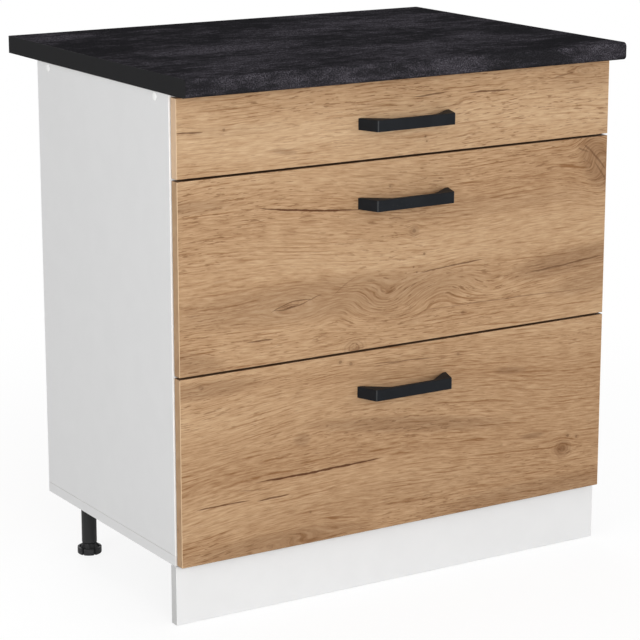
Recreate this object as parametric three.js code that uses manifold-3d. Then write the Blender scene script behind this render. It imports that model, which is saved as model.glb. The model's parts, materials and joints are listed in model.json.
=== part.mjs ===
// Base cabinet with three drawers: a white board carcass on four adjustable legs, a clip-on
// plinth, a stone-look worktop with a postformed front edge, and three oak-faced drawers with
// single-wall steel sides that run on nylon rollers. Sizes are in millimetres. +X is to the
// right, +Y goes back and +Z is up. The origin is the middle of the footprint, on the floor.

import * as THREE from 'three';
import { mergeVertices } from 'three/addons/utils/BufferGeometryUtils.js';
import Module from 'manifold-3d';

const wasm = await Module();
wasm.setup();

// ---------------------------------------------------------------- driving sizes

// A hairline is left wherever two pieces are screwed, glued or pressed together.
const seam = 0.2;

// Drawer fronts, from the lowest up
const tallFrontHeight = 296;
const shortFrontHeight = 120;
const frontGap = 3; // between two fronts
const frontThickness = 16;
const frontSideReveal = 2; // each front is this much narrower than the carcass, per side
const frontBottomReveal = 1.5; // underside of the carcass to the lowest front
const frontTopReveal = 3.5; // top front to the top of the carcass
const frontStandoff = 2; // air between the carcass and the back of a closed front

// Carcass
const cabinetWidth = 800;
const carcassDepth = 442;
const boardThickness = 16;
const backThickness = 3;
const backInset = 2; // the back panel stops this far inside the outline of the carcass
const railWidth = 80;
const railSetback = 2;
const capDiameter = 13;
const capThickness = 1;

// Worktop
const worktopDepth = 600;
const worktopThickness = 28;
const worktopSideOverhang = 2;
const worktopFrontOverhang = 37; // past the drawer fronts
const worktopEdgeRadius = 7;
const worktopStripThickness = 0.8;

// Legs and plinth
const legHeight = 96; // floor to carcass
const frontLegInset = 45; // leg axis to the side of the cabinet
const rearLegInset = 40;
const frontLegSetback = 50; // leg axis to the front edge of the carcass
const rearLegSetback = 66; // leg axis to the rear edge of the carcass
const legTubeDiameter = 25;
const legPlateDiameter = 60;
const legPlateThickness = 4;
const legRoof = 20; // underside of the carcass to the roof of the stem's bore
const footDiameter = 40;
const footHeight = 17.5;
const footRimHeight = 11;
const footRimWall = 3;
const footFloor = 4; // under the ribs
const footRibCount = 6; // with as many notches between them
const footRibWidth = 3;
const footNotchWidth = 3;
const footNotchDepth = 4;
const stemDiameter = 12;
const stemClearance = 0.3; // all round the stem in its bore
const stemHeadroom = 3; // above the stem at rest
const footHeadroom = 1.5; // foot knob to tube when screwed right in
const plinthThickness = 16;
const plinthSetback = 16; // behind the drawer fronts
const plinthGap = 1; // under and over the plinth board
const clipWall = 2.5;
const clipHeight = 24;
const clipPlateWidth = 34;
const clipNeckWidth = 10;
const clipGapAngle = 100; // degrees of the ring left open behind the leg
const clipClearance = 0.2;

// Handles
const handleBaseLength = 168;
const handleBarLength = 142;
const handleProjection = 36;
const handleHeight = 18;
const handleBarThickness = 7;
const handleBaseWidth = 6.5; // of each leg where it meets the front
const handleShoulderWidth = 31; // of each leg where it meets the bar
const handleCornerRadius = 3;
const handleThroatRadius = 16; // where the inside of a leg runs into the bar
const handleDrop = 64; // top of the front to the middle of the handle

// Runners and drawer boxes
const steelThickness = 1.2;
const runnerSetback = 2; // behind the front edge of the carcass
const runnerRearGap = 40; // runner to the rear edge of the carcass
const runnerLift = 18; // bottom of a front to the bottom of its runners
const runnerHeight = 24;
const runnerFlangeWidth = 12;
const rollerDiameter = 18;
const rollerWidth = 6;
const rollerInset = 12; // roller axis to the end of its runner or side
const rollerEdge = 0.8; // bevel of a roller's tread
const rollClearance = 0.3; // between a roller and the steel that it carries or runs on
const pinDiameter = 5;
const pinBoreClearance = 0.3; // all round the pin in its roller
const pinHeadDiameter = 8;
const pinHeadThickness = 1;
const pinShoulder = 0.8;
const pinPlay = 0.3; // along the pin, each side of the roller
const drawerWallOffset = 13; // inner face of the carcass to a drawer's steel side
const drawerWallLift = 2; // bottom of the runner to the bottom of the steel side
const drawerLedgeWidth = 14; // the turned-in ledge that carries the drawer bottom
const drawerLipWidth = 4; // the turned-out lip along the top of a steel side
const drawerFlangeGap = 2; // between a side's running flange and the web of the runner
const drawerBoardThickness = 16;
const drawerBackDrop = 2; // top of the drawer back below the lips
const bracketWidth = 20;
const bracketThickness = 1.5;
const bracketMargin = 6; // bracket to the drawer bottom below it and to the lip above it
const railClearance = 3.5; // top drawer's sides below the front rail
const tallDrawerHeadroom = 126; // top of a tall front to the top of its drawer's sides

// ---------------------------------------------------------------- places that follow

const carcassHeight =
  frontBottomReveal + 2 * tallFrontHeight + shortFrontHeight + 2 * frontGap + frontTopReveal;
const carcassTop = legHeight + carcassHeight;
const carcassFront = frontThickness + frontStandoff; // Y = 0 is the face of the drawer fronts
const carcassRear = carcassFront + carcassDepth;
const outerHalf = cabinetWidth / 2;
const innerHalf = outerHalf - boardThickness;
const worktopFront = -worktopFrontOverhang;
const worktopRear = worktopFront + worktopDepth;
const worktopBottom = carcassTop + seam;
const handleFront = -handleProjection;
const footprintFront = Math.min(worktopFront, handleFront);
const footprintRear = Math.max(worktopRear, carcassRear + seam + backThickness);
const footprintMiddle = (footprintFront + footprintRear) / 2;
const frontLegY = carcassFront + frontLegSetback;
const rearLegY = carcassRear - rearLegSetback;
const runnerLength = carcassDepth - runnerSetback - runnerRearGap;
const runnerFront = carcassFront + runnerSetback;
const drawerBoxFront = frontThickness + seam;
const drawerBoxRear = drawerBoxFront + runnerLength;
const rollerAxisLift = steelThickness + rollClearance + rollerDiameter / 2; // above the runner
const drawerFlangeLift = rollerAxisLift + rollerDiameter / 2 + rollClearance;
const runnerWebFace = seam + steelThickness;
const boxHalf = innerHalf - drawerWallOffset - steelThickness - seam; // half a drawer bottom

// ---------------------------------------------------------------- materials

function finish(color, roughness, metalness = 0) {
  return new THREE.MeshStandardMaterial({ color, roughness, metalness });
}
const whiteBoard = finish(0xe4e4e4, 0.5);
const oakDecor = finish(0xc6a47c, 0.55);
const stoneLaminate = finish(0x2b2a2e, 0.6);
const darkStrip = finish(0x2a2a2c, 0.5);
const blackPlastic = finish(0x343434, 0.5);
const blackMetal = finish(0x2a2c2e, 0.45, 0.4);
const greySteel = finish(0xb4b7ba, 0.4, 0.6);
const zincSteel = finish(0xc4c6c8, 0.35, 0.8);
const hardboard = finish(0x9c7a58, 0.7);
const greyChipboard = finish(0xd6d6d4, 0.6);
const nylon = finish(0xededea, 0.4);

// ---------------------------------------------------------------- shape helpers

function boxBetween([x0, x1], [y0, y1], [z0, z1]) {
  const geometry = new THREE.BoxGeometry(x1 - x0, y1 - y0, z1 - z0);
  return geometry.translate((x0 + x1) / 2, (y0 + y1) / 2, (z0 + z1) / 2);
}

// A closed outline from corners [x, y, radius], where a corner with a radius becomes an arc.
function roundedOutline(corners) {
  const shape = new THREE.Shape();
  corners.forEach(([x, y, radius = 0], i) => {
    const corner = new THREE.Vector2(x, y);
    const before = corners[(i + corners.length - 1) % corners.length];
    const after = corners[(i + 1) % corners.length];
    const toBefore = new THREE.Vector2(before[0], before[1]).sub(corner).normalize();
    const toAfter = new THREE.Vector2(after[0], after[1]).sub(corner).normalize();
    const half = Math.acos(THREE.MathUtils.clamp(toBefore.dot(toAfter), -1, 1)) / 2;
    const middle = toBefore.clone().add(toAfter).normalize();
    const centre = corner.clone().addScaledVector(middle, radius / Math.sin(half));
    const start = corner.clone().addScaledVector(toBefore, radius / Math.tan(half));
    const end = corner.clone().addScaledVector(toAfter, radius / Math.tan(half));
    if (i === 0) shape.moveTo(start.x, start.y);
    else shape.lineTo(start.x, start.y);
    if (radius > 0) {
      const startAngle = Math.atan2(start.y - centre.y, start.x - centre.x);
      const endAngle = Math.atan2(end.y - centre.y, end.x - centre.x);
      const clockwise = toBefore.cross(toAfter) > 0;
      shape.absarc(centre.x, centre.y, radius, startAngle, endAngle, clockwise);
    }
  });
  shape.closePath();
  return shape;
}

// Outline drawn in X and Z, drawn out along Y between y0 and y1
function extrudeAlongY(shape, y0, y1) {
  const geometry = new THREE.ExtrudeGeometry(shape, { depth: y1 - y0, bevelEnabled: false });
  return geometry.rotateX(Math.PI / 2).translate(0, y1, 0);
}

// Outline drawn in Y and Z, drawn out along X between x0 and x1
function extrudeAlongX(shape, x0, x1, curveSegments) {
  const options = { depth: x1 - x0, bevelEnabled: false, curveSegments };
  const geometry = new THREE.ExtrudeGeometry(shape, options);
  return geometry.rotateX(Math.PI / 2).rotateZ(Math.PI / 2).translate(x0, 0, 0);
}

// Profile of [radius, height] pairs turned about Z
function turnAboutZ(profile, segments) {
  const points = profile.map(([radius, height]) => new THREE.Vector2(radius, height));
  return new THREE.LatheGeometry(points, segments).rotateX(Math.PI / 2);
}

// Profile of [radius, place along X] pairs turned about X
function turnAboutX(profile, segments) {
  const points = profile.map(([radius, along]) => new THREE.Vector2(radius, along));
  return new THREE.LatheGeometry(points, segments).rotateZ(-Math.PI / 2);
}

function toSolid(geometry) {
  const bare = geometry.clone();
  bare.deleteAttribute('normal');
  bare.deleteAttribute('uv');
  const merged = mergeVertices(bare);
  const vertProperties = Float32Array.from(merged.attributes.position.array);
  const triVerts = Uint32Array.from(merged.index.array);
  return new wasm.Manifold(new wasm.Mesh({ numProp: 3, vertProperties, triVerts }));
}

function toGeometry(solid) {
  const { vertProperties, triVerts } = solid.getMesh();
  const geometry = new THREE.BufferGeometry();
  geometry.setAttribute('position', new THREE.BufferAttribute(vertProperties, 3));
  geometry.setIndex(new THREE.BufferAttribute(triVerts, 1));
  geometry.computeVertexNormals();
  return geometry;
}

function unite(...geometries) {
  return toGeometry(geometries.map(toSolid).reduce((whole, next) => whole.add(next)));
}

function cut(geometry, ...tools) {
  return toGeometry(tools.map(toSolid).reduce((whole, tool) => whole.subtract(tool), toSolid(geometry)));
}

function piece(name, geometry, material, parent) {
  const mesh = new THREE.Mesh(geometry, material);
  mesh.name = name;
  parent.add(mesh);
  return mesh;
}

const sides = [
  { side: 'left', sign: -1 },
  { side: 'right', sign: 1 },
];

// ---------------------------------------------------------------- carcass

function buildCarcass(parent) {
  const depthSpan = [carcassFront, carcassRear];
  const bottomTop = legHeight + boardThickness;
  const bottom = boxBetween([-outerHalf, outerHalf], depthSpan, [legHeight, bottomTop]);
  piece('bottom_panel', bottom, whiteBoard, parent);

  for (const { side, sign } of sides) {
    const panelSpan = [-boardThickness / 2, boardThickness / 2];
    const panel = boxBetween(panelSpan, depthSpan, [bottomTop + seam, carcassTop]);
    const mesh = piece(`side_panel_${side}`, panel, whiteBoard, parent);
    mesh.position.x = sign * (innerHalf + boardThickness / 2);
  }

  const railSpan = [seam - innerHalf, innerHalf - seam];
  const railHeights = [carcassTop - boardThickness, carcassTop];
  const rails = [
    { place: 'front', from: carcassFront + railSetback },
    { place: 'rear', from: carcassRear - railWidth },
  ];
  for (const { place, from } of rails) {
    const rail = boxBetween(railSpan, [from, from + railWidth], railHeights);
    piece(`top_rail_${place}`, rail, whiteBoard, parent);
    for (const { side, sign } of sides) {
      const cap = piece(`screw_cap_${place}_${side}`, screwCap(sign), nylon, parent);
      cap.position.set(sign * (outerHalf + seam), from + railWidth / 2, carcassTop - boardThickness / 2);
    }
  }

  const backSpan = [backInset - outerHalf, outerHalf - backInset];
  const backHeights = [legHeight + backInset, carcassTop - backInset];
  const backPlace = [carcassRear + seam, carcassRear + seam + backThickness];
  piece('back_panel', boxBetween(backSpan, backPlace, backHeights), hardboard, parent);
}

const capSegments = 20;

// A low domed cap over a screw in the side panel, standing out along X
function screwCap(sign) {
  const rim = capThickness / 3;
  const profile = [
    [0, 0],
    [capDiameter / 2, 0],
    [capDiameter / 2, rim],
    [capDiameter / 3, capThickness],
    [0, capThickness],
  ];
  return turnAboutX(profile, capSegments).rotateY(sign > 0 ? 0 : Math.PI);
}

// ---------------------------------------------------------------- worktop

function worktopOutline() {
  return roundedOutline([
    [worktopFront, 0, worktopEdgeRadius],
    [worktopRear, 0],
    [worktopRear, worktopThickness],
    [worktopFront, worktopThickness, worktopEdgeRadius],
  ]);
}

function buildWorktop(parent) {
  const arcSteps = 6;
  const half = outerHalf + worktopSideOverhang;
  const coreHalf = half - worktopStripThickness - seam;
  const core = extrudeAlongX(worktopOutline(), -coreHalf, coreHalf, arcSteps);
  piece('worktop', core, stoneLaminate, parent).position.z = worktopBottom;
  for (const { side, sign } of sides) {
    const strip = extrudeAlongX(worktopOutline(), 0, worktopStripThickness, arcSteps);
    const mesh = piece(`worktop_edge_${side}`, strip, darkStrip, parent);
    const start = sign > 0 ? half - worktopStripThickness : -half;
    mesh.position.set(start, 0, worktopBottom);
  }
}

// ---------------------------------------------------------------- legs and plinth

const legSegments = 28;

// Mounting plate and tube in one moulding, bored from below for the foot's stem
function legMoulding() {
  const boreRadius = stemDiameter / 2 + stemClearance;
  const top = legHeight - seam;
  const plateBottom = top - legPlateThickness;
  const tubeBottom = footHeight + footHeadroom;
  const boreRoof = legHeight - legRoof;
  const profile = [
    [0, boreRoof],
    [boreRadius, boreRoof],
    [boreRadius, tubeBottom],
    [legTubeDiameter / 2, tubeBottom],
    [legTubeDiameter / 2, plateBottom],
    [legPlateDiameter / 2, plateBottom],
    [legPlateDiameter / 2, top],
    [0, top],
  ];
  return turnAboutZ(profile, legSegments);
}

// Upright rib of the foot, from the hub down to the rim, drawn in Y and Z
function footRib(hubRadius) {
  const innerRim = footDiameter / 2 - footRimWall;
  const overlap = 1; // into the hub, the floor and the rim
  const outline = roundedOutline([
    [hubRadius - overlap, footFloor - overlap],
    [innerRim + overlap, footFloor - overlap],
    [innerRim + overlap, footRimHeight],
    [innerRim, footRimHeight],
    [hubRadius, footHeight],
    [hubRadius - overlap, footHeight],
  ]);
  return extrudeAlongX(outline, -footRibWidth / 2, footRibWidth / 2, 1);
}

// Knob with a notched rim, a hub and ribs between them, standing on the floor, and its stem
function footMoulding() {
  const stemTop = legHeight - legRoof - stemHeadroom;
  const toe = 1; // bevel where the knob meets the floor
  const hubRadius = legTubeDiameter / 2 - toe;
  const profile = [
    [0, 0],
    [footDiameter / 2 - toe, 0],
    [footDiameter / 2, toe],
    [footDiameter / 2, footRimHeight],
    [footDiameter / 2 - footRimWall, footRimHeight],
    [footDiameter / 2 - footRimWall, footFloor],
    [hubRadius, footFloor],
    [hubRadius, footHeight],
    [stemDiameter / 2, footHeight],
    [stemDiameter / 2, stemTop],
    [0, stemTop],
  ];
  const ribs = [];
  const notches = [];
  const step = (2 * Math.PI) / footRibCount;
  for (let i = 0; i < footRibCount; i += 1) {
    ribs.push(footRib(hubRadius).rotateZ((i + 0.5) * step));
    const reach = [-footNotchWidth / 2, footNotchWidth / 2];
    const depth = [footDiameter / 2 - footNotchDepth, footDiameter / 2 + footNotchDepth];
    notches.push(boxBetween(reach, depth, [-footHeight, 2 * footHeight]).rotateZ(i * step));
  }
  return cut(unite(turnAboutZ(profile, legSegments), ...ribs), ...notches);
}

// Snap ring, neck and back plate that hold the plinth board to a front leg. The ring is open
// towards the rear, where the leg goes in.
function plinthClip() {
  const innerRadius = legTubeDiameter / 2 + clipClearance;
  const outerRadius = innerRadius + clipWall;
  const halfGap = THREE.MathUtils.degToRad(clipGapAngle / 2);
  const from = Math.PI / 2 + halfGap;
  const to = Math.PI / 2 - halfGap + 2 * Math.PI;
  const ring = new THREE.Shape();
  ring.absarc(0, 0, outerRadius, from, to, false);
  ring.absarc(0, 0, innerRadius, to, from, true);
  ring.closePath();
  const ringBody = new THREE.ExtrudeGeometry(ring, {
    depth: clipHeight,
    bevelEnabled: false,
    curveSegments: 16,
  });
  const plateFront = plinthSetback + plinthThickness + seam - frontLegY;
  const heights = [0, clipHeight];
  const neckReach = [plateFront, -innerRadius - clipWall / 2];
  const neck = boxBetween([-clipNeckWidth / 2, clipNeckWidth / 2], neckReach, heights);
  const plateReach = [plateFront, plateFront + clipWall];
  const plate = boxBetween([-clipPlateWidth / 2, clipPlateWidth / 2], plateReach, heights);
  return unite(ringBody, neck, plate);
}

function buildLegsAndPlinth(parent) {
  const places = [
    { place: 'front', inset: frontLegInset, y: frontLegY },
    { place: 'rear', inset: rearLegInset, y: rearLegY },
  ];
  for (const { place, inset, y } of places) {
    for (const { side, sign } of sides) {
      const x = sign * (outerHalf - inset);
      piece(`leg_${place}_${side}`, legMoulding(), blackPlastic, parent).position.set(x, y, 0);
      piece(`foot_${place}_${side}`, footMoulding(), blackPlastic, parent).position.set(x, y, 0);
    }
  }
  for (const { side, sign } of sides) {
    const clip = piece(`plinth_clip_${side}`, plinthClip(), blackPlastic, parent);
    clip.position.set(sign * (outerHalf - frontLegInset), frontLegY, (legHeight - clipHeight) / 2);
  }
  const boardReach = [plinthSetback, plinthSetback + plinthThickness];
  const board = boxBetween([-outerHalf, outerHalf], boardReach, [plinthGap, legHeight - plinthGap]);
  piece('plinth_board', board, whiteBoard, parent);
}

// ---------------------------------------------------------------- handle

// A straight bar on two legs that splay towards the front, all one casting of even height
function handleCasting() {
  const baseHalf = handleBaseLength / 2;
  const barHalf = handleBarLength / 2;
  const baseY = -seam;
  const barBack = -handleProjection + handleBarThickness;
  const outline = roundedOutline([
    [-baseHalf, baseY],
    [-barHalf, -handleProjection, handleCornerRadius],
    [barHalf, -handleProjection, handleCornerRadius],
    [baseHalf, baseY],
    [baseHalf - handleBaseWidth, baseY],
    [barHalf - handleShoulderWidth, barBack, handleThroatRadius],
    [handleShoulderWidth - barHalf, barBack, handleThroatRadius],
    [handleBaseWidth - baseHalf, baseY],
  ]);
  const options = { depth: handleHeight, bevelEnabled: false, curveSegments: 4 };
  return new THREE.ExtrudeGeometry(outline, options).translate(0, 0, -handleHeight / 2);
}

// ---------------------------------------------------------------- runners and rollers

const pinSegments = 16;
const rollerSegments = 20;

// Headed pin that grows out of a steel face at x = 0 along +X and holds one roller
function rollerPin() {
  const headStart = pinShoulder + 2 * pinPlay + rollerWidth;
  const root = -steelThickness / 2; // the pin starts inside the steel that it is riveted to
  const profile = [
    [0, root],
    [pinHeadDiameter / 2, root],
    [pinHeadDiameter / 2, pinShoulder],
    [pinDiameter / 2, pinShoulder],
    [pinDiameter / 2, headStart],
    [pinHeadDiameter / 2, headStart],
    [pinHeadDiameter / 2, headStart + pinHeadThickness],
    [0, headStart + pinHeadThickness],
  ];
  return turnAboutX(profile, pinSegments);
}

const rollerMiddle = pinShoulder + pinPlay + rollerWidth / 2; // from the steel face

function roller() {
  const bore = pinDiameter / 2 + pinBoreClearance;
  const tread = rollerDiameter / 2;
  const half = rollerWidth / 2;
  const profile = [
    [bore, -half],
    [tread - rollerEdge, -half],
    [tread, rollerEdge - half],
    [tread, half - rollerEdge],
    [tread - rollerEdge, half],
    [bore, half],
    [bore, -half],
  ];
  return turnAboutX(profile, rollerSegments);
}

// Channel screwed to the inside of the carcass, with the front roller's pin. Its Z starts at
// the underside of the channel. sign is -1 on the left and 1 on the right.
function cabinetRunner(sign) {
  const across = (offset) => sign * (innerHalf - offset);
  const tip = seam + runnerFlangeWidth;
  const corners = [
    [seam, 0],
    [tip, 0],
    [tip, steelThickness],
    [runnerWebFace, steelThickness],
    [runnerWebFace, runnerHeight - steelThickness],
    [tip, runnerHeight - steelThickness],
    [tip, runnerHeight],
    [seam, runnerHeight],
  ];
  const outline = roundedOutline(corners.map(([offset, height]) => [across(offset), height]));
  const channel = extrudeAlongY(outline, runnerFront, runnerFront + runnerLength);
  const pin = rollerPin().rotateY(sign > 0 ? Math.PI : 0);
  pin.translate(across(runnerWebFace), runnerFront + rollerInset, rollerAxisLift);
  return unite(channel, pin);
}

// Steel side of a drawer, in one folded piece: wall, ledge for the drawer bottom, running flange,
// top lip and the bracket that the front is screwed to. It also holds the rear roller's pin.
function drawerSide(sign, height) {
  const across = (offset) => sign * (innerHalf - offset);
  const wallInner = drawerWallOffset + steelThickness;
  const bottom = drawerWallLift;
  const top = drawerWallLift + height;
  const flangeTip = runnerWebFace + drawerFlangeGap;
  const corners = [
    [drawerWallOffset, bottom],
    [drawerWallOffset, drawerFlangeLift],
    [flangeTip, drawerFlangeLift],
    [flangeTip, drawerFlangeLift + steelThickness],
    [drawerWallOffset, drawerFlangeLift + steelThickness],
    [drawerWallOffset, top - steelThickness],
    [drawerWallOffset - drawerLipWidth, top - steelThickness],
    [drawerWallOffset - drawerLipWidth, top],
    [wallInner, top],
    [wallInner, bottom + steelThickness],
    [wallInner + drawerLedgeWidth, bottom + steelThickness],
    [wallInner + drawerLedgeWidth, bottom],
  ];
  const outline = roundedOutline(corners.map(([offset, z]) => [across(offset), z]));
  const wall = extrudeAlongY(outline, drawerBoxFront, drawerBoxRear);
  const bracketSpan = [across(drawerWallOffset), across(wallInner + bracketWidth)];
  const bracketHeights = [drawerBottomTop() + bracketMargin, top - bracketMargin];
  const bracketReach = [drawerBoxFront, drawerBoxFront + bracketThickness];
  const bracket = boxBetween(bracketSpan.sort((a, b) => a - b), bracketReach, bracketHeights);
  const pin = rollerPin().rotateY(sign > 0 ? 0 : Math.PI);
  pin.translate(across(drawerWallOffset), drawerBoxRear - rollerInset, rollerAxisLift);
  return unite(wall, bracket, pin);
}

// Top face of a drawer's bottom board above the underside of its runners
function drawerBottomTop() {
  return drawerWallLift + steelThickness + seam + drawerBoardThickness;
}

// ---------------------------------------------------------------- drawers

function buildDrawer({ name, frontHeight, bottomZ, sideHeight }, parent) {
  const drawer = new THREE.Group();
  drawer.position.z = bottomZ;
  parent.add(drawer);
  const prefix = `drawer_${name}`;

  const frontHalf = outerHalf - frontSideReveal;
  const front = boxBetween([-frontHalf, frontHalf], [0, frontThickness], [0, frontHeight]);
  piece(`${prefix}_front`, front, oakDecor, drawer);
  const handle = piece(`${prefix}_handle`, handleCasting(), blackMetal, drawer);
  handle.position.z = frontHeight - handleDrop;

  const running = new THREE.Group();
  running.position.z = runnerLift;
  drawer.add(running);
  const boardTop = drawerBottomTop();
  const boardSpan = [-boxHalf, boxHalf];
  const boardHeights = [boardTop - drawerBoardThickness, boardTop];
  const boardReach = [drawerBoxFront, drawerBoxRear];
  piece(`${prefix}_bottom`, boxBetween(boardSpan, boardReach, boardHeights), greyChipboard, running);
  const backReach = [drawerBoxRear - drawerBoardThickness, drawerBoxRear];
  const backHeights = [boardTop + seam, drawerWallLift + sideHeight - drawerBackDrop];
  piece(`${prefix}_back`, boxBetween(boardSpan, backReach, backHeights), greyChipboard, running);

  for (const { side, sign } of sides) {
    piece(`${prefix}_side_${side}`, drawerSide(sign, sideHeight), greySteel, running);
    piece(`${prefix}_runner_${side}`, cabinetRunner(sign), zincSteel, running);
    const frontRoller = piece(`${prefix}_roller_front_${side}`, roller(), nylon, running);
    const frontRollerX = innerHalf - runnerWebFace - rollerMiddle;
    frontRoller.position.set(sign * frontRollerX, runnerFront + rollerInset, rollerAxisLift);
    const rearRoller = piece(`${prefix}_roller_rear_${side}`, roller(), nylon, running);
    const rearRollerX = innerHalf - drawerWallOffset + rollerMiddle;
    rearRoller.position.set(sign * rearRollerX, drawerBoxRear - rollerInset, rollerAxisLift);
  }
}

function drawerPlan() {
  const lowest = legHeight + frontBottomReveal;
  const step = tallFrontHeight + frontGap;
  const tallSide = tallFrontHeight - runnerLift - drawerWallLift - tallDrawerHeadroom;
  const shortSide =
    shortFrontHeight + frontTopReveal - boardThickness - railClearance - runnerLift - drawerWallLift;
  return [
    { name: 'lower', frontHeight: tallFrontHeight, bottomZ: lowest, sideHeight: tallSide },
    { name: 'middle', frontHeight: tallFrontHeight, bottomZ: lowest + step, sideHeight: tallSide },
    { name: 'top', frontHeight: shortFrontHeight, bottomZ: lowest + 2 * step, sideHeight: shortSide },
  ];
}

// ---------------------------------------------------------------- the whole cabinet

const cabinet = new THREE.Group();
cabinet.position.y = -footprintMiddle;
buildCarcass(cabinet);
buildWorktop(cabinet);
buildLegsAndPlinth(cabinet);
for (const plan of drawerPlan()) buildDrawer(plan, cabinet);

const part = new THREE.Group();
part.add(cabinet);
export default part;
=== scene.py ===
# %% [markdown]
# # A kitchen base cabinet with three drawers
# The measured solids of the cabinet are loaded first. They are the frame that everything else
# hangs on: their places, sizes and moving bodies are never changed here. A piece whose edges or
# surface want more than a plain solid has is made again in its exact place, and the solid behind
# it is hidden. Lengths are in metres, and MM turns millimetres into them. X runs to the right, Y
# to the back and Z up.

# %% The measured cabinet
import json
import math

import bmesh
import bpy
from mathutils import Matrix, Vector

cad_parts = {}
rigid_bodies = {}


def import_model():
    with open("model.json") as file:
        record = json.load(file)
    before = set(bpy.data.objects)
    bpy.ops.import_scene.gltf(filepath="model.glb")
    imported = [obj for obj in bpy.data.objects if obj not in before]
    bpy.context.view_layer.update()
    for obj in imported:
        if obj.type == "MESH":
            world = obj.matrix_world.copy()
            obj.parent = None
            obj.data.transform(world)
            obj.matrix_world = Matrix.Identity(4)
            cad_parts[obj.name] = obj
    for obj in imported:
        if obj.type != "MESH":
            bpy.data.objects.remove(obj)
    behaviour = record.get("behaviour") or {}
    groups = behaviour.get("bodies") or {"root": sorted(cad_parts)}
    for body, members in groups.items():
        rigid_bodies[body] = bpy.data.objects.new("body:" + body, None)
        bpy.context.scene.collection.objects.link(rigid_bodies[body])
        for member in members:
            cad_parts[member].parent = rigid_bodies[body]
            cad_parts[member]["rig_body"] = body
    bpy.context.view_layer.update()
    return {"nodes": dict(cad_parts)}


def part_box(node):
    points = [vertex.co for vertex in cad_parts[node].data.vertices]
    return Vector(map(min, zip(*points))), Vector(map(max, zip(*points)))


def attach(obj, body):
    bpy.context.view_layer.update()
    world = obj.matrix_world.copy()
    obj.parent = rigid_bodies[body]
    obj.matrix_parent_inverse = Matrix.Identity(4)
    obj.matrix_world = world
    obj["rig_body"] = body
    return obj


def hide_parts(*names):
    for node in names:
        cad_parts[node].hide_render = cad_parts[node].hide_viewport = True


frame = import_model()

MM = 0.001

# %% [markdown]
# ## A short hand for shader nodes
# A material is a graph of nodes. Writing each node and each link by hand takes several lines, so
# a few helpers make a node, fill its sockets and hand back the socket that the next node reads.
# A socket knows the tree that it is part of, so a node that reads one is made in the same tree.
# What the helpers build can be opened and changed in the shader editor.


# %% Helpers that add nodes
def add(kind, sockets=None, tree=None, **options):
    """Adds one shader node. A socket gets a plain value, or a link where another socket is given.

    The tree is named only for a node that reads no other.
    """
    sockets = sockets or {}
    read = [value for value in sockets.values() if isinstance(value, bpy.types.NodeSocket)]
    tree = tree or read[0].id_data
    made = tree.nodes.new("ShaderNode" + kind)
    for option, value in options.items():
        setattr(made, option, value)
    for name, value in sockets.items():
        if value in read:
            tree.links.new(value, made.inputs[name])
        else:
            made.inputs[name].default_value = value
    return made


def calc(operation, *values, clamp=False):
    """A Math node on up to three numbers or sockets."""
    return add("Math", dict(enumerate(values)), operation=operation, use_clamp=clamp).outputs[0]


def joined(operation, *values):
    """One Math node after another, until every value is taken in."""
    total = values[0]
    for value in values[1:]:
        total = calc(operation, total, value)
    return total


def levels(value, low, high, out_low=0.0, out_high=1.0):
    """Stretches low..high to out_low..out_high and cuts off what lies outside."""
    sockets = {"Value": value, "From Min": low, "From Max": high, "To Min": out_low, "To Max": out_high}
    return add("MapRange", sockets, interpolation_type="SMOOTHSTEP").outputs[0]


def stretched(vector, *factors):
    """The same place with each axis multiplied, which makes a pattern that much finer on it."""
    return add("VectorMath", {0: vector, 1: factors}, operation="MULTIPLY").outputs[0]


def noise(vector, scale=1.0, detail=2.0, roughness=0.5):
    """Soft random values around 0.5."""
    sockets = {"Vector": vector, "Scale": scale, "Detail": detail, "Roughness": roughness}
    return add("TexNoise", sockets).outputs[0]


def shaken(value, random, amount):
    """A value moved up and down by soft random values around 0.5."""
    return calc("MULTIPLY_ADD", calc("SUBTRACT", random, 0.5), amount, value)


def blend(factor, first, second):
    """Mixes two colours by a factor from 0 to 1."""
    return add("Mix", {0: factor, 6: first, 7: second}, data_type="RGBA").outputs[2]


def paint(red, green, blue):
    """A colour as an image editor shows it, 0 to 255, turned into the linear values of a shader."""
    def linear(c):
        c /= 255
        return c / 12.92 if c <= 0.04045 else ((c + 0.055) / 1.055) ** 2.4
    return (linear(red), linear(green), linear(blue), 1.0)


COLUMN_WIDTH, ROW_HEIGHT = 220, 190  # steps between nodes in the editor


def arrange(tree):
    """Lays the nodes out in columns from left to right, so that the editor shows a readable graph."""
    column = {node: 0 for node in tree.nodes}
    for _ in range(len(tree.nodes)):
        moved = False
        for link in tree.links:
            if column[link.to_node] <= column[link.from_node]:
                column[link.to_node] = column[link.from_node] + 1
                moved = True
        if not moved:
            break
    filled = {}
    for node, place in column.items():
        row = filled.get(place, 0)
        filled[place] = row + 1
        node.location = (place * COLUMN_WIDTH, -row * ROW_HEIGHT)


print("pale oak in linear values:", [round(c, 3) for c in paint(186, 154, 121)])


# %% [markdown]
# ## Effects that several finishes share
# Grain, cracks, knots, moulded texture and handling marks turn up in more than one material. Each
# is a node group with named inputs, made once and placed with its own numbers wherever it is
# needed. A group hands out colours, masks and heights only. The shader itself stays in the
# material, where its other numbers can be read at a glance.


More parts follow.
